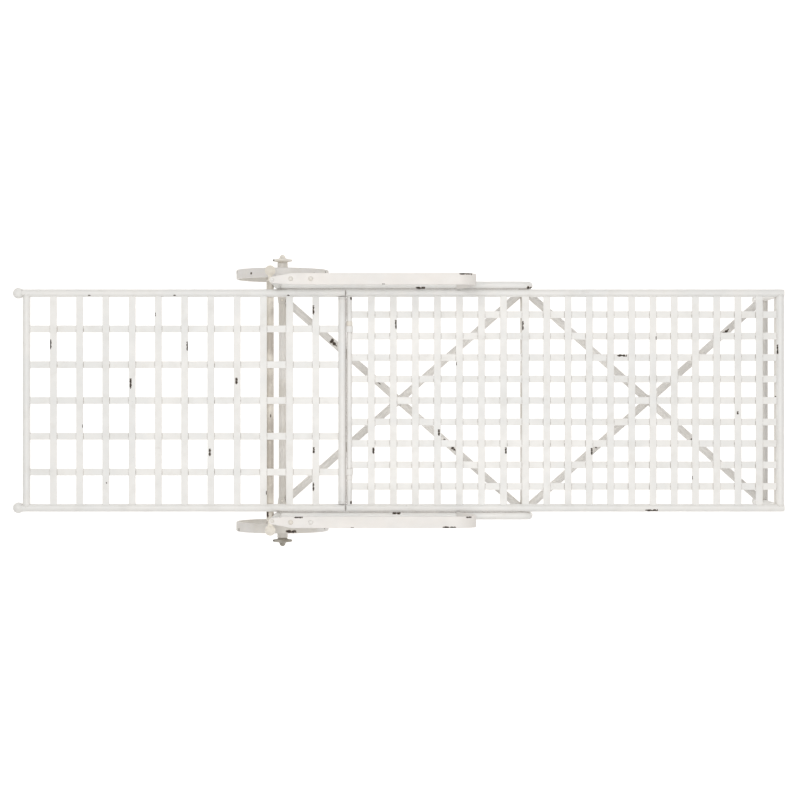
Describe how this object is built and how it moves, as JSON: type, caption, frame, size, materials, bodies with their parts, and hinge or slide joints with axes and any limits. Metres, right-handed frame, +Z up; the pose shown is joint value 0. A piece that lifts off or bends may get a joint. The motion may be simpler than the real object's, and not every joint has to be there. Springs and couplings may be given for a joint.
{
  "type": "wheeled lattice chaise longue",
  "caption": "Long garden lounger of white painted steel tube and flat-bar lattice, with a hinged back, flat arms, two spoked wheels and crossed low braces.",
  "frame": {"origin": "on the floor, under the middle of the whole lounger", "axes": "+X from the head end to the foot end, +Y to the left of a person sitting in it, +Z up"},
  "size_m": [2.0078, 0.7914, 0.5795],
  "materials": {
    "frame_paint": "matt distressed paint with small chips down to dark steel",
    "back_paint": "matt distressed paint with small chips",
    "arm_paint": "matt distressed paint, warmer, chipped along the edges",
    "rest_bar_paint": "matt distressed paint, yellowed",
    "wheel_paint": "matt distressed paint with grime and chips",
    "fittings_paint": "matt distressed paint, worn to dark steel at the edges"
  },
  "bodies": {
    "frame": {"seat_rail_left": "frame_paint", "seat_rail_right": "frame_paint", "seat_rail_caps": "frame_paint", "seat_front_bar": "frame_paint", "hinge_bar": "frame_paint", "seat_cross_slats": "frame_paint", "seat_long_slats": "frame_paint", "hinge_collars": "fittings_paint", "front_leg_left": "frame_paint", "front_leg_right": "frame_paint", "front_feet": "frame_paint", "mid_feet": "frame_paint", "front_apron_bar": "frame_paint", "front_stretcher": "frame_paint", "mid_stretcher": "frame_paint", "side_tube_left": "frame_paint", "side_tube_right": "frame_paint", "rear_brace_long": "frame_paint", "rear_brace_halves": "frame_paint", "front_brace_long": "frame_paint", "front_brace_halves": "frame_paint", "rear_post_left": "frame_paint", "rear_post_right": "frame_paint", "post_caps": "frame_paint", "arm_post_left": "frame_paint", "arm_post_right": "frame_paint", "arm_left": "arm_paint", "arm_right": "arm_paint", "arm_gusset_left": "frame_paint", "arm_gusset_right": "frame_paint", "arm_rivets": "fittings_paint", "arm_tip_screws": "fittings_paint", "rest_cradle_left": "frame_paint", "rest_cradle_right": "frame_paint", "axle_rod": "frame_paint", "axle_tube": "frame_paint", "axle_collars": "frame_paint", "axle_collar_screws": "fittings_paint", "axle_washers": "fittings_paint", "hub_nut_left": "fittings_paint", "hub_nut_right": "fittings_paint"},
    "back": {"back_rail_left": "back_paint", "back_rail_right": "back_paint", "back_rail_caps": "back_paint", "back_head_bar": "back_paint", "back_foot_bar": "back_paint", "back_cross_slats": "back_paint", "back_long_slats": "back_paint", "back_finials": "back_paint", "hinge_sleeves": "back_paint"},
    "rest_bar": {"rest_bar_tube": "rest_bar_paint", "rest_bar_knobs": "rest_bar_paint"},
    "wheel_left": {"wheel_rim_left": "wheel_paint", "wheel_spokes_left": "wheel_paint", "wheel_hub_left": "wheel_paint"},
    "wheel_right": {"wheel_rim_right": "wheel_paint", "wheel_spokes_right": "wheel_paint", "wheel_hub_right": "wheel_paint"}
  },
  "joints": [
    {"name": "back_hinge", "type": "hinge", "parent": "frame", "child": "back", "pos_m": [-0.12915, 0, 0.36], "axis": [0, 1, 0], "range_deg": [0, 76]},
    {"name": "rest_bar_roll", "type": "hinge", "parent": "frame", "child": "rest_bar", "pos_m": [-0.33645, 0, 0.3402], "axis": [0, 1, 0], "continuous": true},
    {"name": "wheel_left_spin", "type": "hinge", "parent": "frame", "child": "wheel_left", "pos_m": [-0.31635, 0.3404, 0.125], "axis": [0, 1, 0], "continuous": true},
    {"name": "wheel_right_spin", "type": "hinge", "parent": "frame", "child": "wheel_right", "pos_m": [-0.31635, -0.3404, 0.125], "axis": [0, 1, 0], "continuous": true}
  ]
}
